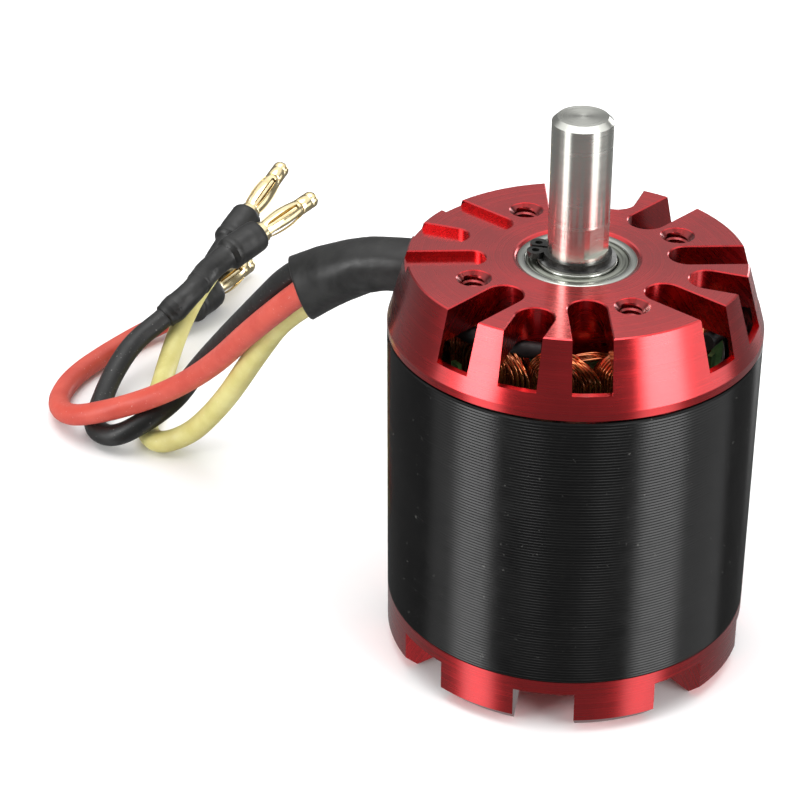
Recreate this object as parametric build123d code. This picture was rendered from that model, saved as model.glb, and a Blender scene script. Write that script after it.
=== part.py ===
"""Brushless outrunner motor, 50 mm can, 8 mm shaft.

Millimetres, +Z along the shaft, origin on the axis at the underside of the rear bell.
The red front cap, the bearing tube, the wound core and the leads stand still. The rear bell,
the black can with its magnets and the shaft turn inside two ball bearings.
"""
import math
import os

from build123d import *

# Body
BODY_R = 25.0
CAN_INNER_R = 23.0
BELL_TOP_Z = 8.2
CAN_TOP_Z = 48.5
CAP_BOTTOM_Z = 48.9
CAP_TOP_Z = 59.1

# Front cap
CAP_FACE_R = 22.4
CAP_BAND_TOP_Z = 50.0
CAP_PLATE_UNDER_Z = 54.6
CAP_SKIRT_R = 24.1
CAP_SKIRT_TOP_R = 23.1
CAP_BOSS_R = 11.8
CAP_BOSS_BOTTOM_Z = 50.6
CAP_BORE_CHAMFER = 0.35
HOLE_CIRCLE_R = 15.0
HOLE_R = 1.65
HOLE_SINK_R = 2.33
FIRST_HOLE_AZIMUTH = 23.9
SLOT_WIDTH = 5.1
SLOT_PITCH = 22.5
OUTER_SLOT_APEX_R = 12.0
MIDDLE_SLOT_APEX_R = 15.2
SLOT_BOTTOM_Z = 52.1
GROOVE_WIDTH = 4.2
GROOVE_DEPTH = 1.0
EDGE_BREAK = 0.15

# Lead outlet in the cap's skirt
OUTLET_AZIMUTH = 158.9
OUTLET_R = 4.15
OUTLET_Z = 53.5
OUTLET_START_R = 17.3

# Shaft
SHAFT_R = 4.0
SHAFT_BOTTOM_Z = 0.8
SHAFT_TOP_Z = 79.1
SHAFT_CHAMFER = 0.7
FLAT_DISTANCE = 3.3
FLAT_BOTTOM_Z = 60.6
FLAT_TOP_Z = 64.8
FLAT_AZIMUTH = -48.0

# Circlip and shim at the front bearing
SHIM_THICKNESS = 0.25
CLIP_GROOVE_R = 3.8
CLIP_THICKNESS = 0.8
CLIP_R = 4.5
CLIP_EAR_R = 1.15
CLIP_EAR_CENTRE_R = 5.5
CLIP_AZIMUTH = 166.0

# Ball bearings, 8 x 16 x 5
BEARING_R = 8.0
BEARING_WIDTH = 5.0
INNER_RING_R = 5.25
OUTER_RING_BORE_R = 6.75
BALL_R = 1.0
BALL_CIRCLE_R = 6.0
BALL_COUNT = 9
RACE_CLEARANCE = 0.03
FRONT_BEARING_Z = 53.9
REAR_BEARING_Z = 11.0

# Bearing tube and preload washer
TUBE_R = 10.0
TUBE_BORE_R = 6.2
TUBE_BOTTOM_Z = 10.6
PRELOAD_THICKNESS = 0.6

# Rear bell
NOTCH_COUNT = 8
NOTCH_WIDTH = 8.25
NOTCH_TOP_Z = 6.25
NOTCH_APEX_R = 12.8
FIRST_NOTCH_AZIMUTH = -99.5
BELL_PLATE_TOP_Z = 4.5
BELL_HUB_R = 12.4
BELL_HUB_BOTTOM_Z = 0.4
BELL_HUB_TOP_Z = 8.7
BELL_CHAMFER = 2.0
SPIGOT_R = 21.6
SPIGOT_TOP_Z = 10.2
SET_SCREW_R = 2.0
SET_SCREW_Z = 3.2
SET_SCREW_FLAT = 3.6
SET_SCREW_LENGTH = 5.0

# Magnets
MAGNET_COUNT = 14
MAGNET_INNER_R = 20.7
MAGNET_HALF_ANGLE = 11.4
MAGNET_BOTTOM_Z = 12.5
MAGNET_TOP_Z = 46.5

# Core and winding
TOOTH_COUNT = 12
FIRST_TOOTH_AZIMUTH = 19.0
CORE_R = 20.1
CORE_BOTTOM_Z = 16.0
CORE_TOP_Z = 46.0
YOKE_R = 12.4
TOOTH_WIDTH = 3.0
TIP_INNER_R = 18.9
TIP_HALF_ANGLE = 12.5
INSULATOR_THICKNESS = 0.8
WEDGE_INNER_R = 18.95
WEDGE_THICKNESS = 0.6
WEDGE_WIDTH = 1.5
WEDGE_OVERHANG = 3.2
COIL_INNER_R = 12.9
COIL_OUTER_R = 18.3
COIL_HALF_ANGLE = 14.0
COIL_BOTTOM_Z = 10.4
COIL_TOP_Z = 51.8
COIL_HOLE_WIDTH = 3.5
COIL_CORNER_R = 3.2

# Sleeved winding ends under the cap's plate
TAIL_R = 1.2
TAIL_Z = 53.2
TAIL_OUTER_CIRCLE_R = 20.3
TAIL_MIDDLE_CIRCLE_R = 16.8
TAIL_INNER_CIRCLE_R = 15.6

# Leads
LEAD_R = 1.75
BUNDLE_OFFSET = 2.03
SLEEVE_WALL = 0.32
SHRINK_STEP_R = 2.15
SHRINK_R = 2.95
SHRINK_LENGTH = 7.3
CUP_R = 2.05
CUP_LENGTH = 5.0
PIN_LENGTH = 13.6
PIN_CORE_R = 1.1
PIN_TIP_R = 1.5
PIN_NOSE_R = 1.1
PIN_COLLAR_R = 1.9
SPRING_R = 2.0
SPRING_WALL = 0.25
SPRING_SLOT = 0.5
LEAD_LAY_Z = 1.8

SLEEVE_ROUTE = [
    (-20.3, 7.8, 53.5),
    (-25.5, 9.8, 53.4),
    (-32.0, 12.7, 50.4),
    (-37.4, 16.0, 46.2),
]

# Each lead runs from the outlet down to the bench, loops back and ends in its plug.
LEAD_ROUTES = {
    "red": [
        (-18.6, 5.3, 54.5),
        (-26.1, 8.2, 54.4),
        (-32.8, 11.1, 51.2),
        (-39.5, 17.0, 42.8),
        (-45.5, 26.0, 33.0),
        (-51.0, 35.3, 22.8),
        (-57.0, 43.2, 14.4),
        (-63.3, 46.8, 9.4),
        (-70.0, 47.2, 7.0),
        (-76.5, 51.0, 3.7),
        (-79.7, 58.5, LEAD_LAY_Z),
        (-78.0, 67.0, LEAD_LAY_Z),
        (-73.1, 74.9, LEAD_LAY_Z),
        (-67.3, 82.1, 2.0),
        (-61.4, 85.6, 3.3),
        (-58.7, 91.0, 3.0),
    ],
    "yellow": [
        (-18.0, 6.9, 51.5),
        (-25.5, 9.8, 51.4),
        (-31.8, 14.4, 46.7),
        (-39.9, 23.9, 37.2),
        (-45.0, 31.0, 26.2),
        (-49.1, 36.4, 17.0),
        (-52.7, 41.4, 9.9),
        (-56.8, 45.7, 3.6),
        (-61.7, 45.6, LEAD_LAY_Z),
        (-64.2, 49.8, LEAD_LAY_Z),
        (-63.8, 56.0, LEAD_LAY_Z),
        (-62.9, 63.0, LEAD_LAY_Z),
        (-62.5, 70.0, 2.0),
        (-60.8, 77.0, 5.3),
        (-58.4, 84.2, 8.1),
        (-56.2, 91.9, 8.3),
        (-55.3, 99.3, 8.1),
        (-52.8, 104.0, 9.9),
    ],
    "black": [
        (-17.4, 8.5, 54.5),
        (-24.9, 11.4, 54.4),
        (-31.5, 14.4, 51.8),
        (-38.3, 19.0, 47.0),
        (-43.9, 27.1, 37.0),
        (-49.9, 37.6, 25.4),
        (-55.6, 48.2, 13.6),
        (-58.9, 49.8, 7.8),
        (-63.3, 46.4, 5.8),
        (-68.9, 46.0, 2.7),
        (-72.8, 50.5, LEAD_LAY_Z),
        (-72.4, 57.5, LEAD_LAY_Z),
        (-70.9, 64.6, 3.7),
        (-67.8, 71.2, 6.3),
        (-62.9, 75.5, 8.4),
        (-57.6, 79.7, 12.0),
        (-56.0, 87.6, 11.7),
        (-51.4, 92.1, 13.0),
    ],
}

# How far back along its lead the narrow step of each heat-shrink reaches, in route points.
SHRINK_STEP_POINTS = {"red": 3, "yellow": 3, "black": 4}


def ring(inner_r, outer_r, bottom_z, top_z):
    """A plain ring about the shaft axis."""
    height = top_z - bottom_z
    middle = Pos(0, 0, (bottom_z + top_z) / 2)
    return middle * (Cylinder(outer_r, height) - Cylinder(inner_r, height + 1))


def turned(profile):
    """A turned piece from (radius, height) points in order."""
    outline = make_face(Plane.XZ * Polyline(*profile, close=True))
    return revolve(outline, Axis.Z)


def at_azimuths(shape, azimuths):
    """Copies of one shape turned about the shaft axis."""
    return [Rot(0, 0, azimuth) * shape for azimuth in azimuths]


def even_azimuths(count, first):
    """Evenly spaced azimuths in degrees."""
    return [first + index * 360 / count for index in range(count)]


def slot_tool(apex_r, width, bottom_z, top_z):
    """A radial cutter with a round inner end, along +X."""
    centre_r = apex_r + width / 2
    reach = BODY_R + 3
    height = top_z - bottom_z
    middle_z = (bottom_z + top_z) / 2
    straight = Pos((centre_r + reach) / 2, 0, middle_z) * Box(reach - centre_r, width, height)
    return straight + Pos(centre_r, 0, middle_z) * Cylinder(width / 2, height)


def sector(inner_r, outer_r, half_angle, bottom_z, top_z):
    """A piece of ring about +X."""
    reach = 2 * outer_r
    spread = reach * math.tan(math.radians(half_angle))
    wedge = Polygon((0, 0), (reach, -spread), (reach, spread), align=None)
    prism = Pos(0, 0, bottom_z) * extrude(wedge, top_z - bottom_z)
    return ring(inner_r, outer_r, bottom_z, top_z) & prism


def corner_radii(route):
    """The largest arcs that each corner's two runs allow."""
    radii = []
    for before, corner, after in zip(route, route[1:], route[2:]):
        arriving = Vector(*corner) - Vector(*before)
        leaving = Vector(*after) - Vector(*corner)
        half_turn = math.radians(arriving.get_angle(leaving)) / 2
        radii.append(0.45 * min(arriving.length, leaving.length) / math.tan(half_turn))
    return radii


def path_along(route):
    """Straight runs joined by tangent arcs."""
    return FilletPolyline(*route, radius=corner_radii(route))


def tube(route, radius):
    """A round rod along a route."""
    path = path_along(route)
    start = Plane(origin=path @ 0, z_dir=path % 0)
    return sweep(start * Circle(radius), path=path)


def round_hole_pattern():
    return even_azimuths(4, FIRST_HOLE_AZIMUTH)


def front_cap():
    """Cap with bearing seat, tapped holes, cooling slots and the lead outlet."""
    cap = turned(
        [
            (TUBE_R, CAP_BOSS_BOTTOM_Z),
            (CAP_BOSS_R, CAP_BOSS_BOTTOM_Z),
            (CAP_BOSS_R, CAP_PLATE_UNDER_Z),
            (CAP_SKIRT_TOP_R, CAP_PLATE_UNDER_Z),
            (CAP_SKIRT_R, CAP_BOTTOM_Z),
            (BODY_R, CAP_BOTTOM_Z),
            (BODY_R, CAP_BAND_TOP_Z),
            (CAP_FACE_R, CAP_TOP_Z),
            (BEARING_R + CAP_BORE_CHAMFER, CAP_TOP_Z),
            (BEARING_R, CAP_TOP_Z - CAP_BORE_CHAMFER),
            (BEARING_R, FRONT_BEARING_Z),
            (TUBE_R, FRONT_BEARING_Z),
        ]
    )
    above = CAP_TOP_Z + 1
    sides = (-SLOT_PITCH, SLOT_PITCH)
    for group in even_azimuths(4, FIRST_HOLE_AZIMUTH + 45):
        over_outlet = abs((group - OUTLET_AZIMUTH + 180) % 360 - 180) < 1
        width = GROOVE_WIDTH if over_outlet else SLOT_WIDTH
        floor_z = CAP_TOP_Z - GROOVE_DEPTH if over_outlet else SLOT_BOTTOM_Z
        cap -= Rot(0, 0, group) * slot_tool(MIDDLE_SLOT_APEX_R, width, floor_z, above)
        for side in sides:
            cap -= Rot(0, 0, group + side) * slot_tool(OUTER_SLOT_APEX_R, width, floor_z, above)
    top_edges = cap.edges().filter_by_position(Axis.Z, CAP_TOP_Z - 0.01, CAP_TOP_Z + 0.01)
    cap = chamfer(top_edges, EDGE_BREAK)
    sink_depth = HOLE_SINK_R - HOLE_R
    hole = Cylinder(HOLE_R, 12) + Pos(0, 0, CAP_TOP_Z - OUTLET_Z - sink_depth / 2) * Cone(
        HOLE_R, HOLE_SINK_R, sink_depth
    )
    for placed in at_azimuths(Pos(HOLE_CIRCLE_R, 0, OUTLET_Z) * hole, round_hole_pattern()):
        cap -= placed
    reach = BODY_R + 3 - OUTLET_START_R
    outlet = Pos(OUTLET_START_R, 0, OUTLET_Z) * (
        Rot(0, 90, 0) * Pos(0, 0, reach / 2) * Cylinder(OUTLET_R, reach)
    )
    return cap - Rot(0, 0, OUTLET_AZIMUTH) * outlet


def shaft_flat(distance, bottom_z, top_z, azimuth):
    """A cutter that leaves a flat at a distance from the axis."""
    depth = SHAFT_R + 1 - distance
    middle = Pos(distance + depth / 2, 0, (bottom_z + top_z) / 2)
    return Rot(0, 0, azimuth) * middle * Box(depth, 3 * SHAFT_R, top_z - bottom_z)


def clip_bottom_z():
    return FRONT_BEARING_Z + BEARING_WIDTH + SHIM_THICKNESS


def set_screw_azimuths():
    return (FIRST_NOTCH_AZIMUTH, FIRST_NOTCH_AZIMUTH + 90)


def shaft():
    """Ground shaft with a circlip groove and flats for set screws."""
    groove_z = clip_bottom_z()
    rod = turned(
        [
            (0, SHAFT_BOTTOM_Z),
            (SHAFT_R - SHAFT_CHAMFER, SHAFT_BOTTOM_Z),
            (SHAFT_R, SHAFT_BOTTOM_Z + SHAFT_CHAMFER),
            (SHAFT_R, groove_z),
            (CLIP_GROOVE_R, groove_z),
            (CLIP_GROOVE_R, groove_z + CLIP_THICKNESS),
            (SHAFT_R, groove_z + CLIP_THICKNESS),
            (SHAFT_R, SHAFT_TOP_Z - SHAFT_CHAMFER),
            (SHAFT_R - SHAFT_CHAMFER, SHAFT_TOP_Z),
            (0, SHAFT_TOP_Z),
        ]
    )
    rod -= shaft_flat(FLAT_DISTANCE, FLAT_BOTTOM_Z, FLAT_TOP_Z, FLAT_AZIMUTH)
    for azimuth in set_screw_azimuths():
        rod -= shaft_flat(SET_SCREW_FLAT, SHAFT_BOTTOM_Z - 1, SET_SCREW_Z + 3, azimuth)
    return rod


def front_shim():
    bottom_z = FRONT_BEARING_Z + BEARING_WIDTH
    return ring(SHAFT_R, INNER_RING_R - 0.1, bottom_z, bottom_z + SHIM_THICKNESS)


def front_circlip():
    """Open spring ring with two eared ends, one hole in each."""
    outline = Circle(CLIP_R)
    half_gap = 11.5
    holes = []
    for side in (-half_gap, half_gap):
        ear = Rot(0, 0, CLIP_AZIMUTH + side) * Pos(CLIP_EAR_CENTRE_R, 0)
        outline += ear * Circle(CLIP_EAR_R)
        holes.append(ear * Circle(0.5))
    outline -= Circle(CLIP_GROOVE_R)
    for hole in holes:
        outline -= hole
    outline -= Rot(0, 0, CLIP_AZIMUTH) * Pos(CLIP_R, 0) * Rectangle(2 * CLIP_R, 0.5)
    return Pos(0, 0, clip_bottom_z()) * extrude(outline, CLIP_THICKNESS)


def bearing(bottom_z):
    """The five pieces of one shielded ball bearing."""
    top_z = bottom_z + BEARING_WIDTH
    middle_z = (bottom_z + top_z) / 2
    race = Pos(0, 0, middle_z) * Torus(BALL_CIRCLE_R, BALL_R + RACE_CLEARANCE)
    inner_ring = ring(SHAFT_R, INNER_RING_R, bottom_z, top_z) - race
    outer_ring = ring(OUTER_RING_BORE_R, BEARING_R, bottom_z, top_z) - race
    azimuths = even_azimuths(BALL_COUNT, 0)
    at_ball = Pos(BALL_CIRCLE_R, 0, middle_z)
    balls = Compound(at_azimuths(at_ball * Sphere(BALL_R), azimuths))
    cage = ring(BALL_CIRCLE_R - 0.25, BALL_CIRCLE_R + 0.25, middle_z - 1.3, middle_z + 1.3)
    pocket = at_ball * Rot(0, 90, 0) * Cylinder(BALL_R + 0.05, 2 * BALL_R)
    for cutter in at_azimuths(pocket, azimuths):
        cage -= cutter
    shield_bore = INNER_RING_R + 0.2
    shields = Compound(
        [
            ring(shield_bore, OUTER_RING_BORE_R, bottom_z + 0.25, bottom_z + 0.5),
            ring(shield_bore, OUTER_RING_BORE_R, top_z - 0.5, top_z - 0.25),
        ]
    )
    return {
        "bearing_inner_ring": inner_ring,
        "bearing_outer_ring": outer_ring,
        "bearing_balls": balls,
        "bearing_cage": cage,
        "bearing_shields": shields,
    }


def stator_tube():
    """Tube that holds the rear bearing and carries the core, pressed into the cap's boss."""
    seat_top_z = REAR_BEARING_Z + BEARING_WIDTH + PRELOAD_THICKNESS
    return turned(
        [
            (BEARING_R, TUBE_BOTTOM_Z),
            (TUBE_R, TUBE_BOTTOM_Z),
            (TUBE_R, FRONT_BEARING_Z),
            (TUBE_BORE_R, FRONT_BEARING_Z),
            (TUBE_BORE_R, seat_top_z),
            (BEARING_R, seat_top_z),
        ]
    )


def preload_washer():
    bottom_z = REAR_BEARING_Z + BEARING_WIDTH
    return ring(OUTER_RING_BORE_R, BEARING_R - 0.1, bottom_z, bottom_z + PRELOAD_THICKNESS)


def rear_spacer():
    return ring(SHAFT_R, INNER_RING_R - 0.1, BELL_HUB_TOP_Z, REAR_BEARING_Z)


def set_screw_hole():
    """Cutter for one tapped hole through the hub along +X."""
    reach = NOTCH_APEX_R + 1 - SET_SCREW_FLAT
    middle = Pos(SET_SCREW_FLAT + reach / 2, 0, SET_SCREW_Z)
    return middle * Rot(0, 90, 0) * Cylinder(SET_SCREW_R, reach)


def rear_bell():
    """Bell with a hub, eight notches that leave spokes and feet, and a spigot for the can."""
    bell = turned(
        [
            (SHAFT_R, BELL_HUB_BOTTOM_Z),
            (BELL_HUB_R - 0.6, BELL_HUB_BOTTOM_Z),
            (BELL_HUB_R - 0.2, 0),
            (BODY_R - BELL_CHAMFER, 0),
            (BODY_R, BELL_CHAMFER),
            (BODY_R, BELL_TOP_Z),
            (CAN_INNER_R, BELL_TOP_Z),
            (CAN_INNER_R, SPIGOT_TOP_Z),
            (SPIGOT_R, SPIGOT_TOP_Z),
            (SPIGOT_R, BELL_PLATE_TOP_Z),
            (BELL_HUB_R, BELL_PLATE_TOP_Z),
            (BELL_HUB_R, BELL_HUB_TOP_Z - 0.6),
            (BELL_HUB_R - 0.6, BELL_HUB_TOP_Z),
            (SHAFT_R, BELL_HUB_TOP_Z),
        ]
    )
    notch = slot_tool(NOTCH_APEX_R, NOTCH_WIDTH, -1, NOTCH_TOP_Z)
    for cutter in at_azimuths(notch, even_azimuths(NOTCH_COUNT, FIRST_NOTCH_AZIMUTH)):
        bell -= cutter
    for cutter in at_azimuths(set_screw_hole(), set_screw_azimuths()):
        bell -= cutter
    return bell


def bell_set_screws():
    """Two socket set screws at right angles, reached through notches."""
    outer_r = SET_SCREW_FLAT + SET_SCREW_LENGTH
    body = Pos((SET_SCREW_FLAT + outer_r) / 2, 0, SET_SCREW_Z) * (
        Rot(0, 90, 0) * Cylinder(SET_SCREW_R - 0.02, SET_SCREW_LENGTH)
    )
    key_depth = 2.0
    key = extrude(RegularPolygon(1.15, 6), key_depth)
    body -= Pos(outer_r - key_depth, 0, SET_SCREW_Z) * Rot(0, 90, 0) * key
    return Compound(at_azimuths(body, set_screw_azimuths()))


def flux_ring():
    return ring(CAN_INNER_R, BODY_R, BELL_TOP_Z, CAN_TOP_Z)


def rotor_magnets():
    magnet = sector(
        MAGNET_INNER_R, CAN_INNER_R, MAGNET_HALF_ANGLE, MAGNET_BOTTOM_Z, MAGNET_TOP_Z
    )
    return Compound(at_azimuths(magnet, even_azimuths(MAGNET_COUNT, 0)))


def tooth_azimuths():
    return even_azimuths(TOOTH_COUNT, FIRST_TOOTH_AZIMUTH)


def tooth_star(yoke_r, tooth_width, tip_outer_r, tip_half_angle, bottom_z, top_z):
    """A ring with twelve T-shaped teeth."""
    height = top_z - bottom_z
    neck_start = yoke_r - 0.5
    neck = Pos((neck_start + TIP_INNER_R) / 2 + 0.2, 0, (bottom_z + top_z) / 2) * Box(
        TIP_INNER_R - neck_start + 0.4, tooth_width, height
    )
    tip = sector(TIP_INNER_R, tip_outer_r, tip_half_angle, bottom_z, top_z)
    star = ring(TUBE_R, yoke_r, bottom_z, top_z)
    for piece in at_azimuths(neck + tip, tooth_azimuths()):
        star += piece
    return star


def stator_core():
    return tooth_star(YOKE_R, TOOTH_WIDTH, CORE_R, TIP_HALF_ANGLE, CORE_BOTTOM_Z, CORE_TOP_Z)


def insulator(bottom_z):
    top_z = bottom_z + INSULATOR_THICKNESS
    tip_outer_r = CORE_R - 0.3
    return tooth_star(YOKE_R - 0.1, COIL_HOLE_WIDTH, tip_outer_r, TIP_HALF_ANGLE, bottom_z, top_z)


def slot_wedges():
    """Strips that close the slot openings and stand proud at both ends."""
    bottom_z = CORE_BOTTOM_Z - WEDGE_OVERHANG
    top_z = CORE_TOP_Z + WEDGE_OVERHANG
    centre_r = WEDGE_INNER_R + WEDGE_THICKNESS / 2
    strip = Pos(centre_r, 0, (bottom_z + top_z) / 2) * Box(
        WEDGE_THICKNESS, WEDGE_WIDTH, top_z - bottom_z
    )
    half_pitch = 180 / TOOTH_COUNT
    azimuths = even_azimuths(TOOTH_COUNT, FIRST_TOOTH_AZIMUTH + half_pitch)
    return Compound(at_azimuths(strip, azimuths))


def coil():
    """One concentrated coil round a tooth along +X."""
    height = COIL_TOP_Z - COIL_BOTTOM_Z
    middle_z = (COIL_TOP_Z + COIL_BOTTOM_Z) / 2
    slope = math.tan(math.radians(COIL_HALF_ANGLE))
    width = 2 * COIL_OUTER_R * slope
    depth = COIL_OUTER_R - COIL_INNER_R
    block = Plane.YZ.offset(COIL_INNER_R) * Pos(0, middle_z) * RectangleRounded(
        width, height, COIL_CORNER_R
    )
    inner_y = COIL_INNER_R * slope
    outer_y = COIL_OUTER_R * slope
    plan = Polygon(
        (COIL_INNER_R, -inner_y),
        (COIL_OUTER_R, -outer_y),
        (COIL_OUTER_R, outer_y),
        (COIL_INNER_R, inner_y),
        align=None,
    )
    body = extrude(block, depth) & Pos(0, 0, COIL_BOTTOM_Z - 1) * extrude(plan, height + 2)
    hole_height = CORE_TOP_Z - CORE_BOTTOM_Z + 2 * INSULATOR_THICKNESS
    hole_middle_z = (CORE_TOP_Z + CORE_BOTTOM_Z) / 2
    hole = Pos((COIL_INNER_R + COIL_OUTER_R) / 2, 0, hole_middle_z) * Box(
        depth + 2, COIL_HOLE_WIDTH, hole_height
    )
    return body - hole


def phase_coils(phase):
    """The four coils of one phase: two neighbours and the two opposite them."""
    azimuths = tooth_azimuths()
    first = 2 * phase
    teeth = (first, first + 1, first + 6, first + 7)
    return Compound(at_azimuths(coil(), [azimuths[tooth % TOOTH_COUNT] for tooth in teeth]))


def tail(first_r, last_r, first_azimuth, last_azimuth):
    """A sleeved winding end that curls round under the cap's plate from one radius to another."""
    steps = max(2, round(abs(last_azimuth - first_azimuth) / 15))
    route = []
    for step in range(steps + 1):
        azimuth = math.radians(first_azimuth + (last_azimuth - first_azimuth) * step / steps)
        radius = first_r + (last_r - first_r) * step / steps
        route.append((radius * math.cos(azimuth), radius * math.sin(azimuth), TAIL_Z))
    return tube(route, TAIL_R)


def bundle_section():
    """Rounded triangle round three leads: yellow below, red in front, black behind."""
    across = BUNDLE_OFFSET * math.sin(math.radians(60))
    up = BUNDLE_OFFSET * math.cos(math.radians(60))
    triangle = Polygon((0, -BUNDLE_OFFSET), (across, up), (-across, up), align=None)
    return offset(triangle, amount=LEAD_R + SLEEVE_WALL)


def lead_sleeve(leads):
    """Heat-shrink over the three leads, from inside the outlet to where they part."""
    path = path_along(SLEEVE_ROUTE)
    along = path % 0
    sideways = along.cross(Vector(0, 0, 1)).normalized()
    start = Plane(origin=path @ 0, x_dir=sideways, z_dir=along)
    up_is_flipped = start.y_dir.Z < 0
    section = Rot(0, 0, 180) * bundle_section() if up_is_flipped else bundle_section()
    sleeve = sweep(start * section, path=path)
    for lead in leads:
        sleeve -= lead
    return sleeve


def plug_plane(colour):
    """Plane at a lead's end with its normal along the plug, in line with the lead's last run."""
    before, end = LEAD_ROUTES[colour][-2:]
    return Plane(origin=end, z_dir=Vector(*end) - Vector(*before))


def plug_pin(colour):
    """Solid pin with a solder cup end, a collar, a slim middle and a round nose."""
    collar_z = CUP_LENGTH + 1.2
    nose_z = CUP_LENGTH + 9.6
    end_z = CUP_LENGTH + PIN_LENGTH
    profile = [
        (0, 0.02),
        (CUP_R, 0.02),
        (CUP_R, CUP_LENGTH),
        (PIN_COLLAR_R, CUP_LENGTH),
        (PIN_COLLAR_R, collar_z),
        (PIN_CORE_R, collar_z),
        (PIN_CORE_R, nose_z),
        (PIN_TIP_R, nose_z),
        (PIN_TIP_R, end_z),
        (0, end_z),
    ]
    pin = turned(profile)
    nose_edge = pin.edges().sort_by(Axis.Z)[-1]
    return plug_plane(colour) * fillet(nose_edge, PIN_NOSE_R)


def plug_spring(colour):
    """Bulged spring sleeve of four leaves round the pin's slim middle."""
    first_z = CUP_LENGTH + 1.3
    last_z = CUP_LENGTH + 9.5
    middle_z = (first_z + last_z) / 2
    end_r = PIN_TIP_R + 0.05
    outer = ThreePointArc((end_r, 0, first_z), (SPRING_R, 0, middle_z), (end_r, 0, last_z))
    inner = ThreePointArc(
        (end_r - SPRING_WALL, 0, last_z),
        (SPRING_R - SPRING_WALL, 0, middle_z),
        (end_r - SPRING_WALL, 0, first_z),
    )
    ends = [Line(outer @ 1, inner @ 0), Line(inner @ 1, outer @ 0)]
    leaf_ring = revolve(make_face([outer, ends[0], inner, ends[1]]), Axis.Z)
    for azimuth in (0, 90):
        slit = Pos(0, 0, middle_z) * Box(3 * SPRING_R, SPRING_SLOT, last_z - first_z - 2.0)
        leaf_ring -= Rot(0, 0, azimuth) * slit
    return plug_plane(colour) * leaf_ring


def plug_shrink(colour, lead, pin):
    """Heat-shrink with a wide step over the solder cup and a narrow step along the lead."""
    wide_bottom = CUP_LENGTH - SHRINK_LENGTH
    wide = Pos(0, 0, wide_bottom + SHRINK_LENGTH / 2) * Cylinder(SHRINK_R, SHRINK_LENGTH)
    wide = chamfer(wide.edges(), 0.5)
    narrow = tube(LEAD_ROUTES[colour][-SHRINK_STEP_POINTS[colour] :], SHRINK_STEP_R)
    return (plug_plane(colour) * wide + narrow) - lead - pin


def report_tube(name, shape, route, radius):
    """Compares a lead's volume with its section times its length and prints its arcs."""
    length = path_along(route).length
    share = shape.volume / (math.pi * radius**2 * length)
    radii = " ".join(f"{value:.1f}" for value in corner_radii(route))
    print(f"{name} length {length:.1f} volume ratio {share:.4f} arcs {radii}")


def build_nodes():
    nodes = {
        "front_cap": front_cap(),
        "stator_tube": stator_tube(),
        "preload_washer": preload_washer(),
        "stator_core": stator_core(),
        "front_insulator": insulator(CORE_TOP_Z),
        "rear_insulator": insulator(CORE_BOTTOM_Z - INSULATOR_THICKNESS),
        "slot_wedges": slot_wedges(),
        "phase_a_coils": phase_coils(0),
        "phase_b_coils": phase_coils(1),
        "phase_c_coils": phase_coils(2),
        "phase_a_tail": tail(TAIL_OUTER_CIRCLE_R, TAIL_OUTER_CIRCLE_R, -38.0, 144.0),
        "phase_b_tail": tail(TAIL_INNER_CIRCLE_R, TAIL_OUTER_CIRCLE_R, -110.0, -186.0),
        "phase_c_tail": tail(TAIL_MIDDLE_CIRCLE_R, TAIL_MIDDLE_CIRCLE_R, 96.0, 142.0),
        "rear_bell": rear_bell(),
        "bell_set_screws": bell_set_screws(),
        "flux_ring": flux_ring(),
        "rotor_magnets": rotor_magnets(),
        "shaft": shaft(),
        "rear_spacer": rear_spacer(),
        "front_shim": front_shim(),
        "front_circlip": front_circlip(),
    }
    for end, bottom_z in (("front", FRONT_BEARING_Z), ("rear", REAR_BEARING_Z)):
        for piece, shape in bearing(bottom_z).items():
            nodes[f"{end}_{piece}"] = shape
    leads = {colour: tube(route, LEAD_R) for colour, route in LEAD_ROUTES.items()}
    for colour, lead in leads.items():
        report_tube(colour, lead, LEAD_ROUTES[colour], LEAD_R)
        pin = plug_pin(colour)
        nodes[f"lead_{colour}"] = lead
        nodes[f"plug_pin_{colour}"] = pin
        nodes[f"plug_spring_{colour}"] = plug_spring(colour)
        nodes[f"plug_shrink_{colour}"] = plug_shrink(colour, lead, pin)
    nodes["lead_sleeve"] = lead_sleeve(leads.values())
    return nodes


os.makedirs("parts", exist_ok=True)
for node, shape in build_nodes().items():
    export_step(shape, f"parts/{node}.step")
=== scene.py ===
"""Brushless outrunner motor: its looks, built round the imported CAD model.

Metres, +Z along the shaft, origin on the axis at the underside of the rear bell.
"""

import random
from math import cos, exp, pi, radians, sin, sqrt, tan

import bpy
from mathutils import Matrix, Vector, noise


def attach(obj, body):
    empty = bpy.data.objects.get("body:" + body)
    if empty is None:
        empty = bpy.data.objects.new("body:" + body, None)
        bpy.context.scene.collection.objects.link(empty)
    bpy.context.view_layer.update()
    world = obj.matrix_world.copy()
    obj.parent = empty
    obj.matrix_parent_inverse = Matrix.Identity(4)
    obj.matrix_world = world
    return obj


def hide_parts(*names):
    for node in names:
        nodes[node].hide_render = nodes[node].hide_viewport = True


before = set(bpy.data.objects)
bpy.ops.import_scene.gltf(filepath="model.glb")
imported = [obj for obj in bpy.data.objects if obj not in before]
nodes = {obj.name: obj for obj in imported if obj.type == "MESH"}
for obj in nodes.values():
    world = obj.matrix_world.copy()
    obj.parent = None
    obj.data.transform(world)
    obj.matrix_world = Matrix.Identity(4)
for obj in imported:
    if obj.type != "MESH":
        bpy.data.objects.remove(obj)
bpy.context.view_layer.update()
MM = 0.001
UP = Vector((0, 0, 1))

# Sizes that both materials and pieces follow, in mm and degrees.
HOLE_COUNT = 4
HOLE_CIRCLE_R = 15.0
HOLE_AZIMUTH = 23.9
COUNTERSINK_R = 2.22
HOLES_ABOVE_Z = 54.0
CAN_R = 25.0


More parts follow.
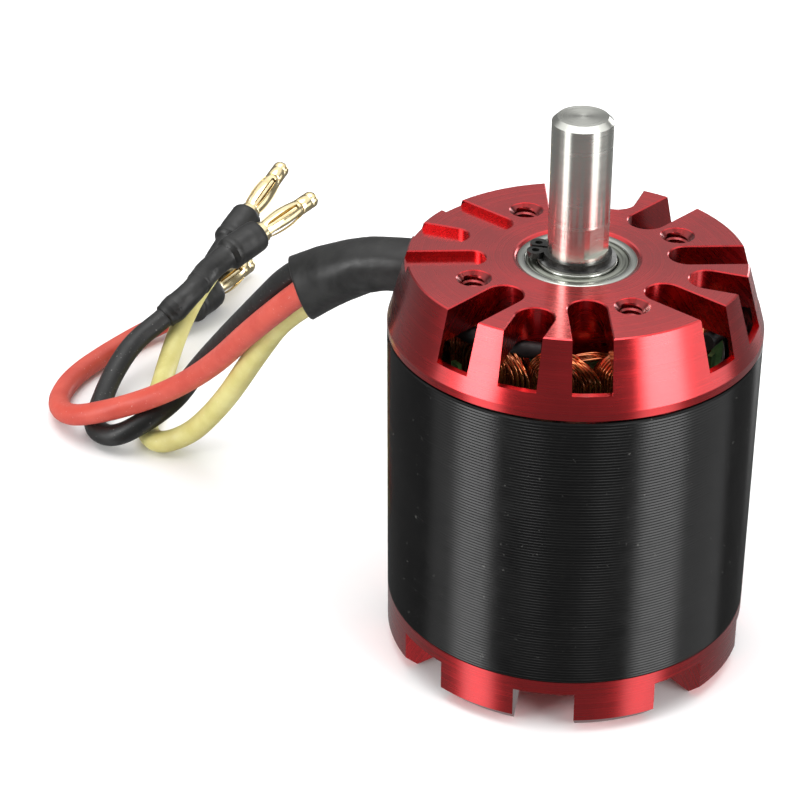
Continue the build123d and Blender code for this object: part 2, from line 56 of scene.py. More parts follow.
# ---------- camera

def new_object(name, data):
    made = bpy.data.objects.new(name, data)
    bpy.context.scene.collection.objects.link(made)
    return made


LENS_MM = 109.16
CAMERA_PLACE = (-0.02326, -0.28286, 0.20547)
CAMERA_TILT = 59.25


def make_camera():
    data = bpy.data.cameras.new("camera")
    data.lens = LENS_MM
    data.sensor_width = 36.0
    data.clip_start = 0.01
    data.clip_end = 20.0
    camera = new_object("camera", data)
    camera.location = CAMERA_PLACE
    camera.rotation_euler = (radians(CAMERA_TILT), 0, 0)
    bpy.context.scene.camera = camera


# ---------- node trees

def new_tree(name):
    """A material with a Principled shader; returns the material, its tree and the shader."""
    material = bpy.data.materials.new(name)
    material.use_nodes = True
    tree = material.node_tree
    shader = next(n for n in tree.nodes if n.type == "BSDF_PRINCIPLED")
    return material, tree, shader


def add(tree, kind, inputs=None, **settings):
    """Adds a shader node; an input that is a socket is linked, any other value is set."""
    made = tree.nodes.new(f"ShaderNode{kind}")
    for key, value in settings.items():
        setattr(made, key, value)
    for key, value in (inputs or {}).items():
        if isinstance(value, bpy.types.NodeSocket):
            tree.links.new(value, made.inputs[key])
        else:
            made.inputs[key].default_value = value
    return made


def math_node(tree, operation, *values):
    return add(tree, "Math", dict(enumerate(values)), operation=operation).outputs[0]


def product(tree, first, *others):
    for other in others:
        first = math_node(tree, "MULTIPLY", first, other)
    return first


def vector_node(tree, operation, *vectors):
    """The outputs of a vector calculation."""
    inputs = dict(enumerate(vectors))
    return add(tree, "VectorMath", inputs, operation=operation).outputs


def object_coords(tree):
    return add(tree, "TexCoord").outputs["Object"]


def separated(tree, vector):
    """The outputs x, y and z of a vector."""
    return add(tree, "SeparateXYZ", {0: vector}).outputs


def level_vector(tree, x, y):
    """A vector with no height."""
    return add(tree, "CombineXYZ", {0: x, 1: y}).outputs[0]


def stretched(tree, vector, scale):
    """Coordinates times a scale per axis."""
    return add(tree, "Mapping", {"Vector": vector, "Scale": scale}).outputs[0]


def noise_node(tree, vector, scale, detail=3.0):
    inputs = {"Vector": vector, "Scale": scale, "Detail": detail, "Roughness": 0.55}
    return add(tree, "TexNoise", inputs).outputs["Fac"]


def line_noise(tree, position, scale):
    """Noise along one number."""
    inputs = {"W": position, "Scale": scale, "Detail": 2.0, "Roughness": 0.6}
    return add(tree, "TexNoise", inputs, noise_dimensions="1D").outputs["Fac"]


def ramp(tree, factor, stops):
    """Colour ramp from (position, colour) stops."""
    made = add(tree, "ValToRGB", {"Fac": factor})
    elements = made.color_ramp.elements
    while len(elements) < len(stops):
        elements.new(0.5)
    for element, (position, colour) in zip(elements, stops):
        element.position = position
        element.color = (*colour, 1.0)
    return made.outputs["Color"]


def spread(tree, factor, low, high, first=0.3, last=0.7, **settings):
    """A factor carried from first..last to low..high."""
    inputs = {"Value": factor, "From Min": first, "From Max": last, "To Min": low, "To Max": high}
    return add(tree, "MapRange", inputs, **settings).outputs["Result"]


def mixed(tree, factor, first, second):
    """Two colours mixed; a constant colour has three parts."""
    made = add(tree, "Mix", data_type="RGBA")
    sockets = (made.inputs[0], made.inputs[6], made.inputs[7])
    for socket, value in zip(sockets, (factor, first, second)):
        if isinstance(value, bpy.types.NodeSocket):
            tree.links.new(value, socket)
        else:
            socket.default_value = (*value, 1.0)
    return made.outputs[2]


def bump(tree, height, strength, distance, under=None):
    inputs = {"Height": height, "Strength": strength, "Distance": distance}
    if under is not None:
        inputs["Normal"] = under
    return add(tree, "Bump", inputs).outputs["Normal"]


def averaged(tree, first, second, share):
    """Two factors mixed, the first with the given share."""
    rest = product(tree, second, 1.0 - share)
    return math_node(tree, "MULTIPLY_ADD", first, share, rest)


def radius_and_height(tree):
    """Distance from the shaft axis and height, in metres."""
    x, y, z = separated(tree, object_coords(tree))
    return vector_node(tree, "LENGTH", level_vector(tree, x, y))["Value"], z


def grey(value):
    return (value, value, value)


def two_tone(dark, light, first=0.3, last=0.7):
    """Ramp stops for two colours."""
    return ((first, dark), (last, light))


def connect(tree, shader, colour, roughness, normal):
    for name, socket in (("Base Color", colour), ("Roughness", roughness), ("Normal", normal)):
        if socket is not None:
            tree.links.new(socket, shader.inputs[name])


def set_shader(shader, **values):
    """Sets constants on the shader's own sockets; underscores stand for spaces."""
    for key, value in values.items():
        shader.inputs[key.replace("_", " ").title().replace("Ior", "IOR")].default_value = value


# ---------- materials

# How far a turned face's normal points along the axis or straight out from it, at least.
FLAT_SHARE = 0.3
ROUND_SHARE = 0.93


def tool_marks(tree, coords, radius, height, marks):
    """Ring marks on turned faces and upright ones on milled walls, and the way they run."""
    x, y, _ = separated(tree, coords)
    around = level_vector(tree, product(tree, y, -1.0), x)
    outward = vector_node(tree, "NORMALIZE", level_vector(tree, x, y))[0]
    facing = add(tree, "TexCoord").outputs["Normal"]
    out_share = vector_node(tree, "DOT_PRODUCT", facing, outward)["Value"]
    up_share = math_node(tree, "ABSOLUTE", separated(tree, facing)[2])
    flat = math_node(tree, "GREATER_THAN", up_share, FLAT_SHARE)
    out_share = math_node(tree, "ABSOLUTE", out_share)
    round_face = math_node(tree, "GREATER_THAN", out_share, ROUND_SHARE)
    turned = math_node(tree, "MAXIMUM", flat, round_face)
    rings = line_noise(tree, math_node(tree, "ADD", radius, height), marks)
    upright = noise_node(tree, stretched(tree, coords, (1.0, 1.0, 0.02)), marks * 0.5, 2.0)
    lines = add(tree, "Mix", {0: turned, 2: upright, 3: rings}).outputs[0]
    along = add(tree, "Mix", data_type="VECTOR")
    tree.links.new(turned, along.inputs[0])
    along.inputs[4].default_value = (0, 0, 1)
    tree.links.new(around, along.inputs[5])
    spaces = dict(vector_type="VECTOR", convert_from="OBJECT", convert_to="WORLD")
    direction = add(tree, "VectorTransform", {0: along.outputs[1]}, **spaces)
    return lines, direction.outputs[0]


def bolt_hole_shade_mask(tree, coords):
    """Where painted shade goes: 1 inside the cap's four tapped holes and their countersinks, 0
    elsewhere.
    """
    inputs = {0: coords, "Angle": -radians(HOLE_AZIMUTH)}
    turned = add(tree, "VectorRotate", inputs, rotation_type="Z_AXIS")
    x, y, z = separated(tree, turned.outputs[0])
    x = math_node(tree, "ABSOLUTE", x)
    y = math_node(tree, "ABSOLUTE", y)
    along = math_node(tree, "MAXIMUM", x, y)
    along = math_node(tree, "SUBTRACT", along, HOLE_CIRCLE_R * MM)
    across = math_node(tree, "MINIMUM", x, y)
    reach = vector_node(tree, "LENGTH", level_vector(tree, along, across))["Value"]
    near = math_node(tree, "LESS_THAN", reach, COUNTERSINK_R * MM)
    high = math_node(tree, "GREATER_THAN", z, HOLES_ABOVE_Z * MM)
    return product(tree, near, high)


def turned_metal(name, dark, light, rough, marks, mark_depth, aniso=0.6, coat=0.0, holes=None):
    """Machined metal: tool marks, blotchy tone, uneven gloss, and painted shade in its bolt holes.
    """
    material, tree, shader = new_tree(name)
    coords = object_coords(tree)
    radius, height = radius_and_height(tree)
    lines, along = tool_marks(tree, coords, radius, height, marks)
    wide_lines = line_noise(tree, math_node(tree, "ADD", radius, height), marks * 0.22)
    blotch = noise_node(tree, coords, 160.0)
    colour = ramp(tree, averaged(tree, lines, blotch, 0.45), two_tone(dark, light))
    # Painted shade: inside the bolt holes the colour turns dark, standing in for the shade there.
    if holes:
        colour = mixed(tree, bolt_hole_shade_mask(tree, coords), colour, holes)
    roughness = spread(tree, averaged(tree, wide_lines, blotch, 0.5), *rough)
    grain = noise_node(tree, coords, 9000.0, 2.0)
    normal = bump(tree, lines, 0.35, mark_depth)
    normal = bump(tree, grain, 0.08, mark_depth, normal)
    connect(tree, shader, colour, roughness, normal)
    set_shader(shader, metallic=1.0, anisotropic=aniso, anisotropic_rotation=0.25)
    set_shader(shader, coat_weight=coat, coat_roughness=0.17, coat_ior=1.5)
    tree.links.new(along, shader.inputs["Tangent"])
    return material


def grained(name, stops, rough, scale, depth, metallic=0.0, fine=None, **constants):
    """A surface with blotchy colour, uneven gloss and fine grain."""
    material, tree, shader = new_tree(name)
    coords = object_coords(tree)
    blotch = noise_node(tree, coords, scale, 4.0)
    colour = ramp(tree, blotch, stops)
    roughness = spread(tree, noise_node(tree, coords, scale * 2.7, 3.0), *rough)
    normal = bump(tree, noise_node(tree, coords, fine or scale * 9.0, 3.0), 0.35, depth)
    connect(tree, shader, colour, roughness, normal)
    set_shader(shader, metallic=metallic, **constants)
    return material


def silicone(name, dark, light):
    """Soft lead insulation: faint lengthwise mottling, dust specks and a matt skin."""
    material, tree, shader = new_tree(name)
    coords = object_coords(tree)
    cloud = noise_node(tree, coords, 220.0, 4.0)
    colour = ramp(tree, cloud, two_tone(dark, light))
    specks = noise_node(tree, coords, 2600.0, 1.0)
    dust = spread(tree, specks, 0.0, 0.22, 0.70, 0.78)
    colour = mixed(tree, dust, colour, (0.8, 0.78, 0.74))
    roughness = spread(tree, noise_node(tree, coords, 500.0), 0.36, 0.52)
    normal = bump(tree, noise_node(tree, coords, 1400.0, 3.0), 0.22, 0.00003)
    connect(tree, shader, colour, roughness, normal)
    set_shader(shader, specular_ior_level=0.4, sheen_weight=0.04, sheen_roughness=0.5)
    set_shader(shader, subsurface_weight=0.08, subsurface_scale=0.0012)
    set_shader(shader, subsurface_radius=(1.0, 0.5, 0.3))
    return material


def laminated(name):
    """Stacked sheets of electrical steel seen at their edges."""
    material, tree, shader = new_tree(name)
    coords = object_coords(tree)
    inputs = {"Vector": coords, "Scale": 450.0, "Distortion": 0.2, "Detail": 1.0}
    sheets = add(tree, "TexWave", inputs, bands_direction="Z", wave_profile="SAW")
    wave = sheets.outputs["Fac"]
    rust = noise_node(tree, coords, 700.0)
    stops = ((0.3, (0.16, 0.155, 0.15)), (0.62, (0.32, 0.31, 0.3)), (0.78, (0.2, 0.12, 0.08)))
    colour = ramp(tree, rust, stops)
    roughness = spread(tree, rust, 0.3, 0.55)
    connect(tree, shader, colour, roughness, bump(tree, wave, 0.6, 0.00008))
    set_shader(shader, metallic=0.9)
    return material


def can_black(name):
    """Black finish on the grooved can, worn on the crests, with specks of grey dust."""
    material, tree, shader = new_tree(name)
    coords = object_coords(tree)
    radius, height = radius_and_height(tree)
    cloud = noise_node(tree, coords, 140.0, 4.0)
    colour = ramp(tree, cloud, two_tone((0.0018, 0.0018, 0.0019), grey(0.0042), last=0.72))
    specks = noise_node(tree, coords, 1500.0, 2.0)
    dust = spread(tree, specks, 0.0, 0.75, 0.715, 0.76)
    colour = mixed(tree, dust, colour, (0.07, 0.07, 0.065))
    crest = spread(tree, radius, 0.0, 1.0, (CAN_R - 0.03) * MM, CAN_R * MM)
    wear = product(tree, crest, line_noise(tree, height, 900.0))
    colour = mixed(tree, wear, colour, (0.016, 0.016, 0.015))
    roughness = spread(tree, noise_node(tree, coords, 420.0), 0.13, 0.22)
    normal = bump(tree, noise_node(tree, coords, 5200.0, 3.0), 0.2, 0.00002)
    connect(tree, shader, colour, roughness, normal)
    set_shader(shader, specular_ior_level=0.22)
    return material


RED_DARK = (0.5, 0.008, 0.012)
RED_LIGHT = (0.66, 0.016, 0.022)
# Painted shade: a dark red put in the cap's bolt holes and countersinks.
RED_PAINTED_SHADE = (0.25, 0.003, 0.004)

# Dark, light, roughness, marks per metre, their depth, anisotropy, coat, painted shade for the
# holes.
TURNED_METALS = {
    "red_anodised": (RED_DARK, RED_LIGHT, (0.22, 0.32), 5200.0, 0.000012, 0.6, 1.0, RED_PAINTED_SHADE),
    "bare_aluminium": (grey(0.6), grey(0.78), (0.25, 0.4), 3000.0, 0.00002),
    "ground_steel": ((0.6, 0.61, 0.56), (0.78, 0.785, 0.73), (0.2, 0.3), 6500.0, 0.000012, 0.8),
    "bearing_steel": ((0.36, 0.37, 0.34), (0.5, 0.51, 0.475), (0.2, 0.3), 5200.0, 0.000008),
    "bearing_shield": ((0.2, 0.21, 0.18), (0.36, 0.375, 0.325), (0.26, 0.38), 4200.0, 0.00001),
}
# The leads' dark and light tone.
SILICONES = {
    "red_silicone": ((0.47, 0.05, 0.032), (0.56, 0.08, 0.052)),
    "yellow_silicone": ((0.53, 0.47, 0.15), (0.64, 0.59, 0.24)),
    "black_silicone": ((0.005, 0.005, 0.0048), (0.01, 0.01, 0.0096)),
}
SPRING_TONES = two_tone(grey(0.3), (0.45, 0.45, 0.44))
OXIDE_TONES = two_tone(grey(0.02), (0.055, 0.053, 0.05))
PLATING_TONES = two_tone((0.36, 0.36, 0.35), (0.52, 0.52, 0.5))
BRASS_TONES = two_tone((0.5, 0.32, 0.1), (0.68, 0.46, 0.16))
GOLD_TONES = two_tone((0.78, 0.62, 0.33), (0.94, 0.82, 0.53))
SLEEVING_TONES = two_tone((0.005, 0.005, 0.0055), (0.013, 0.013, 0.0135))
COPPER_TONES = (
    (0.25, (0.17, 0.037, 0.012)), (0.5, (0.45, 0.125, 0.036)), (0.75, (0.74, 0.25, 0.065)),
)
GREEN_TONES = ((0.3, (0.018, 0.075, 0.022)), (0.5, (0.05, 0.14, 0.04)), (0.75, (0.1, 0.2, 0.06)))
SHRINK_TONES = (
    (0.3, (0.006, 0.006, 0.0058)), (0.55, (0.011, 0.011, 0.0105)), (0.75, (0.018, 0.018, 0.017)),
)
# Tones, roughness, blotches per metre, depth of the grain, metallic.
GRAINED = {
    "spring_steel": (SPRING_TONES, (0.25, 0.4), 600.0, 0.00001, 1.0),
    "black_oxide_steel": (OXIDE_TONES, (0.24, 0.4), 900.0, 0.00002, 0.75),
    "magnet_plating": (PLATING_TONES, (0.2, 0.36), 300.0, 0.00003, 1.0),
    "brass_cage": (BRASS_TONES, (0.22, 0.36), 700.0, 0.00002, 1.0),
    "gold_plate": (GOLD_TONES, (0.1, 0.24), 700.0, 0.000012, 1.0),
    "enamelled_copper": (COPPER_TONES, (0.14, 0.3), 420.0, 0.00002, 0.9),
    "green_insulation": (GREEN_TONES, (0.28, 0.5), 520.0, 0.00003),
    "black_sleeving": (SLEEVING_TONES, (0.42, 0.6), 500.0, 0.00005),
    "black_heat_shrink": (SHRINK_TONES, (0.36, 0.5), 330.0, 0.00005, 0.0, 2200.0),
}
EXTRA_LOOKS = {
    "enamelled_copper": {"coat_weight": 0.8, "coat_roughness": 0.12},
    "green_insulation": {"coat_weight": 0.3, "coat_roughness": 0.2},
    "black_sleeving": {"specular_ior_level": 0.4},
    "black_heat_shrink": {"specular_ior_level": 0.4, "sheen_weight": 0.03, "sheen_roughness": 0.4},
}

materials = {"lamination_steel": laminated("lamination_steel"), "black_can": can_black("black_can")}
for slot_name, looks in TURNED_METALS.items():
    materials[slot_name] = turned_metal(slot_name, *looks)
for slot_name, looks in SILICONES.items():
    materials[slot_name] = silicone(slot_name, *looks)
for slot_name, looks in GRAINED.items():
    materials[slot_name] = grained(slot_name, *looks, **EXTRA_LOOKS.get(slot_name, {}))


def dress_cad_nodes():
    """Gives every CAD node the procedural material of its record slot."""
    for cad in nodes.values():
        for place in cad.material_slots:
            old = place.material.name.split(".")[0] if place.material else ""
            if old in materials:
                place.material = materials[old]
            else:
                raise ValueError(f"{cad.name} has an unknown finish {old!r}")


# ---------- mesh helpers

def mesh_piece(name, shape, slot, angle, body="stator"):
    """A smooth-shaded mesh that rides on a body, with edges sharper than the angle kept."""
    verts, faces = shape
    mesh = bpy.data.meshes.new(name)
    mesh.from_pydata([tuple(v) for v in verts], [], faces)
    mesh.validate()
    for polygon in mesh.polygons:
        polygon.use_smooth = True
    mesh.set_sharp_from_angle(angle=radians(angle))
    mesh.materials.append(materials[slot])
    piece = new_object(name, mesh)
    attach(piece, body)
    return piece


def skin(rings, close_ends=False, wrap=False):
    """Quads between rings of equal size; rings are closed, and wrap joins last to first."""
    count = len(rings[0])
    verts = [v for ring in rings for v in ring]
    faces = []
    last = len(rings) if wrap else len(rings) - 1
    for i in range(last):
        first, second = i * count, (i + 1) % len(rings) * count
        for j in range(count):
            k = (j + 1) % count
            faces.append((first + j, first + k, second + k, second + j))
    if close_ends:
        faces.append(tuple(range(count - 1, -1, -1)))
        start = (len(rings) - 1) * count
        faces.append(tuple(start + j for j in range(count)))
    return verts, faces


def joined(parts):
    """One vertex and face list from several."""
    verts, faces = [], []
    for part_verts, part_faces in parts:
        base = len(verts)
        verts.extend(part_verts)
        faces.extend(tuple(base + i for i in face) for face in part_faces)
    return verts, faces


def lathe(profile, segments):
    """A closed (radius, height) outline in mm turned about the shaft axis."""
    rings = []
    for step in range(segments):
        angle = 2 * pi * step / segments
        x, y = cos(angle) * MM, sin(angle) * MM
        rings.append([Vector((r * x, r * y, z * MM)) for r, z in profile])
    return skin(rings, wrap=True)


def frames_along(points):
    """(point, tangent, side, up) at each point, turning as little as possible."""
    tangents = []
    for index in range(len(points)):
        before = points[max(index - 1, 0)]
        after = points[min(index + 1, len(points) - 1)]
        tangents.append((after - before).normalized())
    side = tangents[0].cross(UP)
    if side.length < 1e-6:
        side = Vector((1, 0, 0))
    side.normalize()
    out = []
    for point, tangent in zip(points, tangents):
        side = (side - tangent * side.dot(tangent)).normalized()
        out.append((point, tangent, side, side.cross(tangent) * -1))
    return out


def directions(side, up, count):
    """Unit vectors all round, from one direction towards the other."""
    angles = (2 * pi * k / count for k in range(count))
    return [side * cos(a) + up * sin(a) for a in angles]


def around_axis(radius, angle, height):
    """A point in metres, from a radius and height in mm and an angle in radians."""
    return Vector((radius * cos(angle), radius * sin(angle), height)) * MM


def eased(share):
    """A share kept between 0 and 1, with a slow start and end."""
    share = max(0.0, min(1.0, share))
    return share * share * (3 - 2 * share)


def resampled(points, distances):
    """Points at the given distances along a polyline, and past its end in line with it."""
    out = []
    index, walked = 0, 0.0
    for wanted in distances:
        run = points[index + 1] - points[index]
        while index < len(points) - 2 and walked + run.length < wanted:
            walked += run.length
            index += 1
            run = points[index + 1] - points[index]
        out.append(points[index] + run.normalized() * (wanted - walked))
    return out


def rounded_box(left, right, bottom, top, corner, steps):
    """Points round a rectangle with rounded corners, from its upper right corner on."""
    points = []
    for x, y, first in (
        (right - corner, top - corner, 0),
        (left + corner, top - corner, 90),
        (left + corner, bottom + corner, 180),
        (right - corner, bottom + corner, 270),
    ):
        for step in range(steps + 1):
            angle = radians(first + 90 * step / steps)
            points.append((x + corner * cos(angle), y + corner * sin(angle)))
    return points


def centre_of(ring):
    return sum(ring, Vector()) / len(ring)


def shrunk(ring, scale, shift=Vector()):
    """A ring drawn in towards its own centre, and moved."""
    centre = centre_of(ring)
    return [centre + (v - centre) * scale + shift for v in ring]


def path_length(points):
    return sum((b - a).length for a, b in zip(points, points[1:]))


def round_tube(points, radius, sides):
    """A tube of one radius along points."""
    rings = []
    for point, _, side, up in frames_along(points):
        rings.append([point + way * radius for way in directions(side, up, sides)])
    return skin(rings, close_ends=True)


# ---------- leads

LEAD_DIAMETER = 0.0035
LEAD_LAY_Z = 1.8

# The routes' points are in mm, everything else about the leads in metres.
SLEEVE_ROUTE = [
    (-20.3, 7.8, 53.5), (-25.5, 9.8, 53.4), (-32.0, 12.7, 50.4), (-37.4, 16.0, 46.2),
]

LEAD_ROUTES = {
    "red": [
        (-18.6, 5.3, 54.5), (-26.1, 8.2, 54.4), (-32.8, 11.1, 51.2), (-39.5, 17.0, 42.8),
        (-45.5, 26.0, 33.0), (-51.0, 35.3, 22.8), (-57.0, 43.2, 14.4), (-63.3, 46.8, 9.4),
        (-70.0, 47.2, 7.0), (-76.5, 51.0, 3.7), (-79.7, 58.5, LEAD_LAY_Z),
        (-78.0, 67.0, LEAD_LAY_Z), (-73.1, 74.9, LEAD_LAY_Z), (-67.3, 82.1, 2.0),
        (-61.4, 85.6, 3.3), (-58.7, 91.0, 3.0),
    ],
    "yellow": [
        (-18.0, 6.9, 51.5), (-25.5, 9.8, 51.4), (-31.8, 14.4, 46.7), (-39.9, 23.9, 37.2),
        (-45.0, 31.0, 26.2), (-49.1, 36.4, 17.0), (-52.7, 41.4, 9.9), (-56.8, 45.7, 3.6),
        (-61.7, 45.6, LEAD_LAY_Z), (-64.2, 49.8, LEAD_LAY_Z), (-63.8, 56.0, LEAD_LAY_Z),
        (-62.9, 63.0, LEAD_LAY_Z), (-62.5, 70.0, 2.0), (-60.8, 77.0, 5.3), (-58.4, 84.2, 8.1),
        (-56.2, 91.9, 8.3), (-55.3, 99.3, 8.1), (-52.8, 104.0, 9.9),
    ],
    "black": [
        (-17.4, 8.5, 54.5), (-24.9, 11.4, 54.4), (-31.5, 14.4, 51.8), (-38.3, 19.0, 47.0),
        (-43.9, 27.1, 37.0), (-49.9, 37.6, 25.4), (-55.6, 48.2, 13.6), (-58.9, 49.8, 7.8),
        (-63.3, 46.4, 5.8), (-68.9, 46.0, 2.7), (-72.8, 50.5, LEAD_LAY_Z),
        (-72.4, 57.5, LEAD_LAY_Z), (-70.9, 64.6, 3.7), (-67.8, 71.2, 6.3), (-62.9, 75.5, 8.4),
        (-57.6, 79.7, 12.0), (-56.0, 87.6, 11.7), (-51.4, 92.1, 13.0),
    ],
}


def nurbs_curve(name, route, bevel):
    """One open NURBS spline along a route."""
    data = bpy.data.curves.new(name, "CURVE")
    data.dimensions = "3D"
    data.resolution_u = 12
    data.bevel_depth = bevel
    data.bevel_resolution = 8
    data.use_fill_caps = True
    spline = data.splines.new("NURBS")
    spline.points.add(len(route) - 1)
    for point, place in zip(spline.points, route):
        point.co = (place[0] * MM, place[1] * MM, place[2] * MM, 1.0)
    spline.order_u = 3
    spline.use_endpoint_u = True
    return new_object(name, data)


def centreline(route):
    """Points along the route's NURBS spline, read from a curve with no bevel."""
    bare = nurbs_curve("bare_line", route, 0.0)
    bare.data.use_fill_caps = False
    graph = bpy.context.evaluated_depsgraph_get()
    mesh = bpy.data.meshes.new_from_object(bare.evaluated_get(graph))
    points = [v.co.copy() for v in mesh.vertices]
    data = bare.data
    bpy.data.objects.remove(bare)
    bpy.data.curves.remove(data)
    bpy.data.meshes.remove(mesh)
    return points


def wobble(point, scale, amount):
    """Smooth seeded noise at a point, in metres."""
    return noise.noise(point * scale) * amount


SHRINK_STEP = 0.0003
SHRINK_SIDES = 40
SHRINK_WRINKLE = 0.00006


def radius_at(distance, profile):
    """The radius at a distance, between the (distance, radius) pairs of a profile."""
    for (d0, r0), (d1, r1) in zip(profile, profile[1:]):
        if d0 - 1e-9 <= distance <= d1 + 1e-9:
            return r0 + (r1 - r0) * (distance - d0) / max(d1 - d0, 1e-9)
    raise ValueError(f"{distance} lies outside the profile")


def shrink_tube(name, points, profile):
    """Heat-shrink whose radius follows (distance, radius) pairs along points, a bit uneven."""
    first, last = profile[0][0], profile[-1][0]
    count = max(2, round((last - first) / SHRINK_STEP))
    even = {first + (last - first) * i / count for i in range(count + 1)}
    distances = sorted(even | {d for d, _ in profile})
    kept = [distances[0]]
    for distance in distances[1:]:
        if distance - kept[-1] > 1e-6:
            kept.append(distance)
    rings = []
    for (point, _, side, up), distance in zip(frames_along(resampled(points, kept)), kept):
        radius = radius_at(distance, profile)
        ring = []
        for way in directions(side, up, SHRINK_SIDES):
            fine = wobble(point + way * radius, 700.0, SHRINK_WRINKLE)
            coarse = wobble(point + way * 0.0006, 260.0, SHRINK_WRINKLE * 1.6)
            ring.append(point + way * (radius + (fine + coarse)))
        rings.append(ring)
    towards = (centre_of(rings[-1]) - centre_of(rings[-2])).normalized()
    inner_end = shrunk(rings[-1], 0.72)
    deep_end = [v - towards * 0.0008 for v in inner_end]
    shape = skin([shrunk(rings[0], 0.8)] + rings + [inner_end, deep_end])
    return mesh_piece(name, shape, "black_heat_shrink", 60.0)


# (distance past the lead's end, radius) pairs in mm: the part round every plug, and for each lead
# how far back the heat-shrink starts and its shape up to there.
SHRINK_HEAD = [
    (-3.3, 2.12), (-2.8, 2.22), (-2.4, 2.62), (-2.0, 2.9),
    (-1.4, 2.94), (-0.6, 2.83), (1.0, 2.87), (2.8, 2.9),
    (4.3, 2.85), (4.85, 2.7), (5.0, 2.5),
]
SHRINKS = {
    "red": (8.5, [(-7.0, 2.1), (-5.2, 2.08)]),
    "yellow": (10.0, [(-8.5, 2.1), (-6.0, 2.08)]),
    "black": (
        21.5,
        [
            (-20.8, 2.06), (-20.0, 2.26), (-18.8, 2.32), (-17.6, 2.16),
            (-15.0, 2.04), (-12.6, 2.02), (-12.45, 2.24), (-10.0, 2.2),
            (-6.0, 2.16),
        ],
    ),
}


def shrink_profile(end, colour):
    """(distance, radius) pairs in metres for the heat-shrink at a lead's end."""
    back, body = SHRINKS[colour]
    rim = [(-back, 1.82), (0.2 - back, 2.05)]
    return [(end + d * MM, r * MM) for d, r in rim + body + SHRINK_HEAD]


def make_leads():
    lines = {}
    made = {}
    for colour, route in LEAD_ROUTES.items():
        line = centreline(route)
        lines[colour] = line
        profile = shrink_profile(path_length(line), colour)
        shrink = shrink_tube(f"heat_shrink_{colour}", line, profile)
        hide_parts(f"plug_shrink_{colour}")
        lead = nurbs_curve(f"wire_{colour}", route, LEAD_DIAMETER / 2)
        lead.data.materials.append(materials[f"{colour}_silicone"])
        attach(lead, "stator")
        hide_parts(f"lead_{colour}")
        made[colour] = (lead, shrink, make_plug(colour))
    sleeve = make_sleeve(lines)
    for colour, (lead, shrink, plug) in made.items():
        with_it = [shrink] + plug
        if colour == "red":
            with_it.append(sleeve)
        start = [value * MM for value in LEAD_ROUTES[colour][0]]


def crossing(line, point, normal):
    """Where a line of points passes the plane through the point, and its direction there."""
    for first, second in zip(line, line[1:]):
        a = (first - point).dot(normal)
        b = (second - point).dot(normal)
        if a <= 0 <= b and (first - point).length < 0.02:
            share = a / (a - b) if a != b else 0.0
            return first.lerp(second, share), (second - first).normalized()
    nearest = min(range(1, len(line)), key=lambda k: (line[k] - point).length)
    run = (line[nearest] - line[nearest - 1]).normalized()
    return line[nearest] - normal * (line[nearest] - point).dot(normal), run


def support_outline(reach, side, up, steps):
    """The closed outline whose farthest distance in each of the directions is given."""
    outline = []
    for index in range(steps):
        angle = 2 * pi * index / steps
        slope = (reach[(index + 1) % steps] - reach[index - 1]) * steps / (4 * pi)
        x = reach[index] * cos(angle) - slope * sin(angle)
        y = reach[index] * sin(angle) + slope * cos(angle)
        outline.append(side * x + up * y)
    return outline


def softened(values, width):
    """A closed list of values, each blended with its neighbours."""
    count = len(values)
    out = []
    for index in range(count):
        total, weight = 0.0, 0.0
        for step in range(-width, width + 1):
            share = cos(0.5 * pi * step / (width + 1)) ** 2
            total += values[(index + step) % count] * share
            weight += share
        out.append(total / weight)
    return out


SLEEVE_WALL = 0.00032
SLEEVE_MOUTH_R = 0.0040
SLEEVE_STEPS = 72
MOUTH_FACING = Vector((-0.949, -0.16, -0.27))
# Each fold: share of the sleeve's length and spread, angle and spread in degrees, height.
SLEEVE_FOLDS = ((0.36, 0.09, 222, 14, 0.0003), (0.3, 0.12, 246, 16, -0.00025))


def sleeve_reach(point, facing, ways, lines, loose):
    """How far the sleeve reaches each way from the point: tight round the leads, or round."""
    leads = [crossing(lines[colour], point, facing) for colour in ("red", "yellow", "black")]
    reach = []
    for way in ways:
        tight = SLEEVE_WALL + max(
            (place - point).dot(way)
            + LEAD_DIAMETER / 2 * sqrt(1 + (run.dot(way) / run.dot(facing)) ** 2)
            for place, run in leads
        )
        reach.append(tight + loose * max(0.0, SLEEVE_MOUTH_R - tight))
    return softened(softened(reach, 8), 4)


def sleeve_relief(place, share, degrees):
    """Folds and crumples of the sleeve's surface, in metres."""
    relief = wobble(place, 260.0, 0.0001) + wobble(place + Vector((3, 1, 2)), 900.0, 0.00003)
    for at, spread_at, angle, spread_angle, height in SLEEVE_FOLDS:
        away = ((share - at) / spread_at) ** 2 + ((degrees - angle) / spread_angle) ** 2
        relief += exp(-away) * height
    return relief


